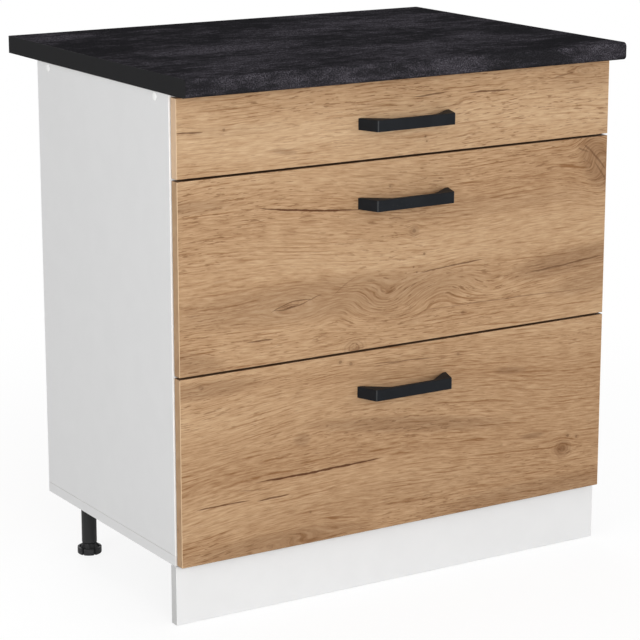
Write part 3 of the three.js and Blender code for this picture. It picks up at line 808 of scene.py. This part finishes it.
# Faces on the rounding of upright edges get the painted highlight, and level faces the painted shade.
def edging_of(normal):
    """Which of the four finishes a face has, by the way that it looks."""
    sideways, upward = abs(normal.x), abs(normal.z)
    if sideways > 0.9:
        return UPRIGHT_EDGING
    if sideways > 0.2 and upward < 0.2:
        return PAINTED_HIGHLIGHT_ROUNDING
    return PAINTED_SHADE_LEVEL_EDGING if upward > 0.5 else DECOR


for level in LEVELS:
    node = f"drawer_{level}_front"
    bm = box_mesh(*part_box(node))
    upright = [e for e in bm.edges if abs((e.verts[0].co - e.verts[1].co).z) > 1 * MM]
    round_off(bm, upright, UPRIGHT_ROUNDING, steps=3)
    round_off(bm, sharper_than(bm, 60), LEVEL_ROUNDING, steps=3)
    bm.normal_update()
    for face in bm.faces:
        face.material_index = edging_of(face.normal)
    # The top front's end strips get a paler copy of the edging: painted light.
    upright_edging = "oak_edging_painted_light_top_front" if level == "top" else "oak_edging"
    used = [f"oak_of_{level}_front", upright_edging, "oak_edging_painted_highlight", "oak_edging_painted_shade"]
    new_piece(f"{level}_oak_front", bm, used, node=node)

# %% [markdown]
# ## The worktop
# A postformed worktop is a board whose laminate is bent round the front edge in one sheet, with no
# joint. The shape is one outline, seen from the side, drawn out along its length. Two corners of
# the outline are rounded with a vertex bevel before it is drawn out, which gives a true arc. The
# laminate ends a little way in under the front edge, and there the backing paper starts. The rear
# edge faces the wall and stays raw.


# %% The worktop and the strips on its ends
NOSE_RADIUS, NOSE_STEPS = 7 * MM, 12
WRAP = 22 * MM  # how far the laminate reaches in under the front edge
STRIP_EASE = 0.25 * MM


def worktop_mesh(node):
    """The side outline of a node with a rounded front, drawn out along X over the node's length."""
    low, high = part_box(node)
    bm = bmesh.new()
    corners = [(low.y, low.z), (high.y, low.z), (high.y, high.z), (low.y, high.z)]
    outline = [bm.verts.new((low.x, y, z)) for y, z in corners]
    bm.faces.new(outline)
    round_off(bm, [outline[0], outline[3]], NOSE_RADIUS, NOSE_STEPS, affect="VERTICES")
    draw_out(bm, bm.faces[:], (high.x - low.x, 0, 0))
    bmesh.ops.recalc_face_normals(bm, faces=bm.faces[:])
    bm.normal_update()
    return bm


low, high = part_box("worktop")
bm = worktop_mesh("worktop")
everything = bm.verts[:] + bm.edges[:] + bm.faces[:]
bmesh.ops.bisect_plane(bm, geom=everything, plane_co=(0, low.y + WRAP, 0), plane_no=(0, 1, 0))
for face in bm.faces:
    if looks(face, "+Y"):
        face.material_index = 1
    elif looks(face, "-Z") and face.calc_center_median().y > low.y + WRAP:
        face.material_index = 2
new_piece("worktop_slab", bm, ["stone_laminate", "raw_chipboard", "backing_paper"],
          node="worktop", smooth=20)
for side in SIDES:
    bm = worktop_mesh(f"worktop_edge_{side}")
    round_off(bm, sharper_than(bm, 60), STRIP_EASE, steps=2)
    new_piece(f"worktop_strip_{side}", bm, ["worktop_strip"],
              node=f"worktop_edge_{side}", smooth=20)
print("worktop:", [round(c / MM, 1) for c in high - low], "mm")

# %% [markdown]
# ## The handles
# Each handle is one flat casting: a straight bar on two legs that splay outwards from it and get
# narrower towards the front of the drawer. It is drawn from above as one outline. The outer
# corners get a small radius and the inner ones, where a leg runs into the bar, a large one. The
# outline is drawn out to the height of the bar, and every sharp edge is then rounded by about half
# a millimetre, because powder coat never covers a sharp edge well. The small faces of the outer
# corners get a paler, glossier coat: a painted highlight where their rounding catches the light.


# %% One handle for each drawer
BASE_HALF, BAR_HALF = 84 * MM, 71 * MM  # half the length at the front, and at the outside of the bar
LEG_WIDTH, SHOULDER, BAR_THICKNESS = 6.5 * MM, 31 * MM, 7 * MM
OUTER_RADIUS, INNER_RADIUS, CORNER_STEPS = 3 * MM, 16 * MM, 8
HANDLE_ROUNDING = 0.6 * MM
HIGHLIGHT_CORNER_AREA = 60 * MM * MM  # the faces of an outer corner are smaller than this


def handle_mesh(low, high):
    back = low.y + BAR_THICKNESS
    right = [
        (BAR_HALF, low.y, OUTER_RADIUS), (BASE_HALF, high.y, 0), (BASE_HALF - LEG_WIDTH, high.y, 0),
        (BAR_HALF - SHOULDER, back, INNER_RADIUS),
    ]
    corners = right + [(-x, y, radius) for x, y, radius in reversed(right)]
    bm = bmesh.new()
    outline = [bm.verts.new((x, y, low.z)) for x, y, _ in corners]
    bm.faces.new(outline)
    for vert, (_, _, radius) in zip(outline, corners):
        if radius:
            offset = radius * math.tan(vert.calc_edge_angle() / 2)
            round_off(bm, [vert], offset, CORNER_STEPS, affect="VERTICES")
    draw_out(bm, bm.faces[:], (0, 0, high.z - low.z))
    bmesh.ops.recalc_face_normals(bm, faces=bm.faces[:])
    # The small faces of the outer corners get a paler coat, a painted highlight.
    for face in bm.faces:
        sideways = abs(face.normal.x)
        if face.normal.y < -0.2 and 0.35 < sideways < 0.80 and face.calc_area() < HIGHLIGHT_CORNER_AREA:
            face.material_index = 1
    round_off(bm, sharper_than(bm, 30), HANDLE_ROUNDING, steps=3)
    return bm


for level in LEVELS:
    node = f"drawer_{level}_handle"
    low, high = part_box(node)
    made = new_piece(f"{level}_bow_handle", handle_mesh(low, high),
                     ["black_powder_coat", "powder_coat_painted_highlight"], node=node, smooth=40)
    weighted = made.modifiers.new("flat faces stay flat", "WEIGHTED_NORMAL")
    weighted.keep_sharp = True
print("handle:", [round(c / MM, 1) for c in high - low], "mm")

# %% [markdown]
# ## Steel, plastic and nylon parts with rounded edges
# Folded steel, moulded plastic and turned rollers already have their right shape in the solids,
# but their edges are sharp and their meshes are loose triangles. A copy is taken, its doubled
# corners are merged, and triangles in one plane are dissolved into whole faces. Then the sharp
# edges can be beveled like any other. The copy takes the place of its solid.


# %% Rounded copies of solids
def rounded_copy(node, finish, ease, steps=1):
    bm = bmesh.new()
    bm.from_mesh(frame["nodes"][node].data)
    bmesh.ops.remove_doubles(bm, verts=bm.verts[:], dist=0.002 * MM)
    bmesh.ops.dissolve_limit(bm, angle_limit=math.radians(0.5), verts=bm.verts[:], edges=bm.edges[:])
    round_off(bm, sharper_than(bm, 40), ease, steps, clamp=True)
    for face in bm.faces:
        face.material_index = 0
    return new_piece(f"{node}_rounded", bm, [finish], node=node, smooth=35)


for place in PLACES:
    rounded_copy(f"foot_{place}", "black_plastic", ease=0.5 * MM, steps=2)
for side in SIDES:
    rounded_copy(f"plinth_clip_{side}", "black_plastic", ease=0.3 * MM, steps=2)
for level in LEVELS:
    drawer = f"drawer_{level}"
    for side in SIDES:
        rounded_copy(f"{drawer}_side_{side}", "grey_painted_steel", ease=0.25 * MM)
        rounded_copy(f"{drawer}_runner_{side}", "zinc_plating", ease=0.25 * MM)
    for place in PLACES:
        rounded_copy(f"{drawer}_roller_{place}", "white_nylon", ease=0.15 * MM)
    board(f"{level}_drawer_bottom", f"{drawer}_bottom", "pale_grey_melamine",
          others={"raw_chipboard": ("+Y", "-Y", "+X", "-X")})
    board(f"{level}_drawer_back", f"{drawer}_back", "pale_grey_melamine",
          others={"raw_chipboard": ("+X", "-X")})

# %% [markdown]
# ## Turned shapes
# Legs, caps, nails and buffers are all round. Such a shape is a profile spun round an axis: pairs
# of a radius and a height. A spin closes on itself, so it is told to merge its last ring with its
# first. It is spun upright and then turned and moved to where it belongs.


# %% Helpers that spin a profile
def set_in_place(bm, earlier, middle, axis):
    """Turns what was made after the earlier vertices from +Z to an axis, and moves it to middle."""
    made = [vert for vert in bm.verts if vert not in earlier]
    turn = Vector((0, 0, 1)).rotation_difference(Vector(axis)).to_matrix()
    bmesh.ops.rotate(bm, cent=(0, 0, 0), matrix=turn, verts=made)
    bmesh.ops.translate(bm, vec=middle, verts=made)


def spun(bm, middle, axis, profile, steps):
    """Spins a profile of (radius, height) pairs, in mm, round an axis, with height 0 at middle."""
    earlier = set(bm.verts)
    line = [bm.verts.new((radius * MM, 0, height * MM)) for radius, height in profile]
    edges = [bm.edges.new(pair) for pair in zip(line, line[1:])]
    bmesh.ops.spin(
        bm, geom=line + edges, cent=(0, 0, 0), axis=(0, 0, 1), angle=math.tau, steps=steps, use_merge=True
    )
    set_in_place(bm, earlier, middle, axis)


def close_poles(bm):
    """Merges the vertices that a spin leaves on top of each other on its axis."""
    bmesh.ops.remove_doubles(bm, verts=bm.verts[:], dist=0.01 * MM)


# %% [markdown]
# ## Legs
# A leg is one moulding: a round plate that is screwed to the underside, a tube, and four ribs that
# brace them. The plate and tube are one profile, and each rib is a flat shape given a thickness.

# %% The four legs
# All in mm: radii of the bore, the tube and the plate, thickness of the plate and of a rib.
BORE, TUBE, PLATE = 6.3, 12.5, 30.0
PLATE_THICK, RIB_THICK = 4.0, 2.0


def leg_mesh(middle, bottom, top):
    """A leg round the upright line through middle, between two heights in mm."""
    under = top - PLATE_THICK
    profile = [
        (BORE, bottom), (TUBE - 0.6, bottom), (TUBE, bottom + 0.6), (TUBE, under - 2.5),
        (TUBE + 0.8, under - 0.8), (TUBE + 2.5, under), (PLATE - 0.5, under), (PLATE, under + 0.5),
        (PLATE, top - 0.3), (PLATE - 0.3, top), (0.0, top),
    ]
    rib = [
        (TUBE - 1.0, under + 0.5), (PLATE - 4.0, under + 0.5), (PLATE - 5.5, under - 1.5),
        (TUBE - 1.0, under - 16.0),
    ]
    bm = bmesh.new()
    spun(bm, middle, (0, 0, 1), profile, steps=48)
    close_poles(bm)
    bmesh.ops.holes_fill(bm, edges=[e for e in bm.edges if e.is_boundary], sides=0)
    for quarter in range(4):
        earlier = set(bm.verts)
        corners = [bm.verts.new((r * MM, -RIB_THICK / 2 * MM, z * MM)) for r, z in rib]
        draw_out(bm, [bm.faces.new(corners)], (0, RIB_THICK * MM, 0))
        made = [vert for vert in bm.verts if vert not in earlier]
        turn = Matrix.Rotation(math.radians(90 * quarter), 3, "Z")
        bmesh.ops.rotate(bm, cent=(0, 0, 0), matrix=turn, verts=made)
        bmesh.ops.translate(bm, vec=middle, verts=made)
    return bm


leg_middles = {}
for place in PLACES:
    low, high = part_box(f"leg_{place}")
    middle = Vector(((low.x + high.x) / 2, (low.y + high.y) / 2, 0))
    leg_middles[place] = middle
    new_piece(f"leg_moulding_{place}", leg_mesh(middle, low.z / MM, high.z / MM), ["black_plastic"],
              node=f"leg_{place}", smooth=35)
print("leg axes in mm:", {place: [round(c / MM) for c in leg_middles[place].xy] for place in PLACES})

# %% [markdown]
# ## Caps over the side screws
# Two white caps near the top of each side board cover the screws of the rails. A cap is a shallow
# dome, so its profile is spun round an axis that points sideways.


# %% The four caps
# The caps' finish is painted whiter than nylon, partly a painted highlight.
DOME = [(0.0, 0.0), (6.3, 0.0), (6.5, 0.15), (6.3, 0.45), (5.4, 0.78), (3.4, 0.95), (0.0, 1.0)]
for side, sign in SIDES.items():
    for place in ("front", "rear"):
        node = f"screw_cap_{place}_{side}"
        low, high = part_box(node)
        inner = low.x if sign > 0 else high.x
        middle = Vector((inner, (low.y + high.y) / 2, (low.z + high.z) / 2))
        bm = bmesh.new()
        spun(bm, middle, (sign, 0, 0), DOME, steps=28)
        close_poles(bm)
        new_piece(f"white_cap_{place}_{side}", bm, ["glossy_cap_painted_highlight"], node=node, smooth=50)
print("a cap is", DOME[-1][1], "mm thick")

# %% [markdown]
# ## Screws and nails
# What holds the cabinet together shows once a drawer is pulled out or the cabinet is seen from
# behind: pan head screws with a cross recess, and flat nails in the hardboard. A head starts as a
# circle that is extruded and narrowed, and the recess is an inner ring whose corners are pulled in
# by turns to make a cross and then pushed down. The open underside is closed at the end. The heads
# of one kind on one body are one piece, so that the list of pieces stays short.


# %% A helper that adds one screw head
HEAD_STEPS = (
    # rise as a share of the height, and how far from the middle the corners stay, in turn
    (0.5, (1.0,)),
    (0.35, (0.86,)),
    (0.15, (0.62,)),
    (0.0, (0.75, 0.30, 0.30, 0.30)),
    (-0.7, (1.0,)),
)


def screw_head(bm, middle, axis, radius=3.5 * MM, height=1.5 * MM):
    """A pan head that stands on middle and looks along an axis."""
    earlier = set(bm.verts)
    bmesh.ops.create_circle(bm, cap_ends=True, radius=radius, segments=16)
    bm.faces.ensure_lookup_table()
    face = bm.faces[-1]
    for rise, reach in HEAD_STEPS:
        face = bmesh.ops.extrude_discrete_faces(bm, faces=[face])["faces"][0]
        centre = face.calc_center_median()
        for index, vert in enumerate(face.verts):
            vert.co = centre + (vert.co - centre) * reach[index % len(reach)]
        bmesh.ops.translate(bm, vec=(0, 0, rise * height), verts=face.verts)
    bmesh.ops.holes_fill(bm, edges=[e for e in bm.edges if e.is_boundary], sides=0)
    set_in_place(bm, earlier, middle, axis)


# %% Screws of the legs
PLATE_SCREWS = 23 * MM  # how far the screws sit from the leg's axis
bm = bmesh.new()
for place in PLACES:
    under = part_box(f"leg_{place}")[1].z - PLATE_THICK * MM
    for quarter in range(4):
        angle = math.radians(45 + 90 * quarter)
        spot = leg_middles[place] + Vector((math.cos(angle), math.sin(angle), 0)) * PLATE_SCREWS
        screw_head(bm, (spot.x, spot.y, under), (0, 0, -1))
new_piece("leg_plate_screws", bm, ["zinc_plating"], body="cabinet", smooth=30)
print("screws of the legs:", 4 * len(PLACES))

# %% Screws of the runners
RUNNER_STEEL, RUNNER_HOLE = 1.2 * MM, 12 * MM  # thickness, and height of the holes in the channel
RUNNER_SCREWS = (37 * MM, 165 * MM, 357 * MM)  # from the front end of a runner
bm = bmesh.new()
for level in LEVELS:
    for side, sign in SIDES.items():
        low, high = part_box(f"drawer_{level}_runner_{side}")
        web = (high.x if sign > 0 else low.x) - sign * RUNNER_STEEL
        for reach in RUNNER_SCREWS:
            screw_head(bm, (web, low.y + reach, low.z + RUNNER_HOLE), (-sign, 0, 0), height=1.3 * MM)
new_piece("runner_screws", bm, ["zinc_plating"], body="cabinet", smooth=30)

# %% Screws of the handles and of the brackets behind the fronts
HANDLE_SCREWS, BRACKET_SCREWS = 80 * MM, 359 * MM  # from the middle of the drawer
BRACKET_STEEL, BRACKET_INSET = 1.5 * MM, 14 * MM  # thickness, and screws from its ends
for level in LEVELS:
    bm = bmesh.new()
    front_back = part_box(f"drawer_{level}_front")[1].y
    bottom_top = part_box(f"drawer_{level}_bottom")[1].z
    handle_low, handle_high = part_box(f"drawer_{level}_handle")
    handle_middle = (handle_low.z + handle_high.z) / 2
    for side, sign in SIDES.items():
        screw_head(bm, (sign * HANDLE_SCREWS, front_back, handle_middle), (0, 1, 0),
                   radius=4 * MM, height=2 * MM)
        low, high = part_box(f"drawer_{level}_side_{side}")
        for z in (bottom_top + BRACKET_INSET, high.z - BRACKET_INSET):
            screw_head(bm, (sign * BRACKET_SCREWS, low.y + BRACKET_STEEL, z), (0, 1, 0))
    new_piece(f"{level}_drawer_screws", bm, ["zinc_plating"], body=f"drawer_{level}",
              smooth=30)


# %% Nails in the hardboard
NAIL = [(0.0, 0.0), (2.4, 0.0), (2.4, 0.25), (1.6, 0.5), (0.0, 0.6)]
NAIL_INSET, NAIL_GAPS = 6 * MM, 6  # from the edge of the board, and gaps along one side


def nail_row(start, end):
    first, last = start + NAIL_INSET, end - NAIL_INSET
    return [first + i * (last - first) / NAIL_GAPS for i in range(NAIL_GAPS + 1)]


low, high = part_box("back_panel")
across, up = nail_row(low.x, high.x), nail_row(low.z, high.z)
spots = [(x, z) for x in across for z in (up[0], up[-1])]
spots += [(x, z) for x in (across[0], across[-1]) for z in up[1:-1]]
bm = bmesh.new()
for x, z in spots:
    spun(bm, Vector((x, high.y, z)), (0, 1, 0), NAIL, steps=12)
close_poles(bm)
new_piece("hardboard_nails", bm, ["zinc_plating"], body="cabinet", smooth=40)
print("nails:", len(spots))

# %% [markdown]
# ## Buffers
# Small clear buffers on the inside of each front keep it from knocking on the carcass. They fill
# the narrow air gap behind a closed front, and they ride with the drawer.

# %% Four buffers for each front
BUFFER = [(0.0, 0.0), (4.0, 0.0), (4.0, 1.0), (3.4, 1.6), (2.0, 1.8), (0.0, 1.8)]
BUFFER_ACROSS, BUFFER_INSET = 390 * MM, 24 * MM  # from the middle, and from the top and bottom edges
for level in LEVELS:
    low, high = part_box(f"drawer_{level}_front")
    bm = bmesh.new()
    for sign in SIDES.values():
        for z in (low.z + BUFFER_INSET, high.z - BUFFER_INSET):
            spun(bm, Vector((sign * BUFFER_ACROSS, high.y, z)), (0, 1, 0), BUFFER, steps=16)
    close_poles(bm)
    new_piece(f"{level}_front_buffers", bm, ["clear_rubber"], body=f"drawer_{level}", smooth=40)
print("a buffer is", BUFFER[-1][1], "mm thick")

# %% [markdown]
# ## The floor and the white surround
# The cabinet stands on a plain pale floor that runs out into white. Making the floor white with
# more light would also bleach the cabinet. Instead the floor gives the camera part of its white as
# its own glow and the rest as reflected light, so that the cabinet's soft shadow still shows, and
# away from the cabinet it turns fully into glow. The surround is plain white for the camera. Glossy
# and see-through surfaces show the same floor and surround. All other rays see an ordinary pale
# floor and a dimmer surround, so that the white puts no extra light on the cabinet.


# %% The floor
FLOOR_HALF = 30.0  # half its width
GLOW = 0.855  # the part of the floor's white that doesn't depend on the light
WHITE = (1, 1, 1, 1)
NEARBY, FAR_OFF = 0.8, 1.7  # the floor turns into plain white between these distances
SHADOW_PART = 0.17  # how strongly the light and the shadows on the floor show


def shown_as_white(tree):
    """1 for the rays of the camera, of mirrors and of glass, which see the white surround."""
    rays = add("LightPath", tree=tree).outputs
    return joined("MAXIMUM", rays["Is Glossy Ray"], rays["Is Transmission Ray"], rays["Is Camera Ray"])


bm = bmesh.new()
bmesh.ops.create_grid(bm, x_segments=1, y_segments=1, size=FLOOR_HALF)
mesh = bpy.data.meshes.new("floor")
bm.to_mesh(mesh)
bm.free()
floor = bpy.data.objects.new("floor", mesh)
bpy.context.scene.collection.objects.link(floor)

material = bpy.data.materials.new("pale_floor")
material.use_nodes = True
tree = material.node_tree
tree.nodes.clear()
place = add("TexCoord", tree=tree).outputs["Object"]
distance = add("VectorMath", {0: place}, operation="LENGTH").outputs["Value"]
faint = calc("MULTIPLY", noise(place, 900.0), 0.04)
tint = blend(faint, paint(205, 205, 205), paint(190, 190, 190))
pale = add("BsdfDiffuse", {"Color": tint}).outputs[0]
dimmed = add("BsdfDiffuse", {"Color": (SHADOW_PART, SHADOW_PART, SHADOW_PART, 1.0)}, tree).outputs[0]
glow = add("Emission", {"Color": WHITE, "Strength": GLOW}, tree).outputs[0]
near = add("AddShader", {0: dimmed, 1: glow}).outputs[0]
white = add("Emission", {"Color": WHITE, "Strength": 1.0}, tree).outputs[0]
shown = add("MixShader", {0: levels(distance, NEARBY, FAR_OFF), 1: near, 2: white}).outputs[0]
result = add("MixShader", {0: shown_as_white(tree), 1: pale, 2: shown}).outputs[0]
add("OutputMaterial", {"Surface": result})
arrange(tree)
floor.data.materials.append(material)
print("floor glow:", GLOW)

# %% The surround
SOFT_LIGHT = 0.42  # how bright the surround is for the rays that light the cabinet
world = bpy.data.worlds.new("white_surround")
world.use_nodes = True
bpy.context.scene.world = world
tree = world.node_tree
tree.nodes.clear()
strength = calc("MULTIPLY_ADD", shown_as_white(tree), 1.0 - SOFT_LIGHT, SOFT_LIGHT)
sky = add("Background", {"Color": WHITE, "Strength": strength}).outputs[0]
add("OutputWorld", {"Surface": sky})
arrange(tree)
print("light of the surround:", SOFT_LIGHT)

# %% [markdown]
# ## Studio lamps
# The light is soft and comes mostly from the front left and above, so that the fronts are a little
# brighter than the side, and shadows have no hard edge. Each lamp is a large square panel. Its
# power is chosen so that a white board under it stays just below white. The panels above and
# behind only lift the shadows.


# %% The lamps
def lamp(name, place, target, size, power):
    light = bpy.data.lights.new(name, "AREA")
    light.shape, light.size, light.energy = "SQUARE", size, power
    made = bpy.data.objects.new(name, light)
    made.location = place
    made.rotation_euler = (Vector(target) - Vector(place)).to_track_quat("-Z", "Y").to_euler()
    bpy.context.scene.collection.objects.link(made)


lamp("front_panel", (-1.3, -4.4, 1.35), target=(0, 0, 0.45), size=2.2, power=95)
lamp("right_panel", (2.6, -3.4, 1.2), target=(0, 0, 0.40), size=2.0, power=24)
lamp("left_panel", (-3.8, -1.4, 1.6), target=(0, 0, 0.55), size=2.0, power=40)
lamp("ceiling_panel", (0.0, 0.0, 3.3), target=(0, 0, 0.5), size=2.2, power=14)
lamp("rear_panel", (1.2, 3.8, 2.0), target=(0, 0, 0.45), size=2.4, power=45)
print("lamps:", len(bpy.data.lights))

# %% [markdown]
# ## The camera
# The picture is taken from the front left, a little above the worktop, with a long lens. The
# camera stands about 4 m away, turned 32 degrees to the right and tipped 14 degrees down.

# %% The camera
CAMERA_PLACE = (-2.0338, -3.2959, 1.3325)
TURN, TIP = math.radians(31.815), math.radians(13.825)
LENS, SENSOR_WIDTH = 134.92, 36.0  # in mm
camera = bpy.data.objects.new("camera", bpy.data.cameras.new("camera"))
camera.data.lens = LENS
camera.data.sensor_width = SENSOR_WIDTH
camera.location = CAMERA_PLACE
camera.rotation_euler = (math.pi / 2 - TIP, 0.0, -TURN)
bpy.context.scene.collection.objects.link(camera)
bpy.context.scene.camera = camera
bpy.context.scene.view_settings.view_transform = "Standard"
print("camera height in mm:", round(CAMERA_PLACE[2] / MM))
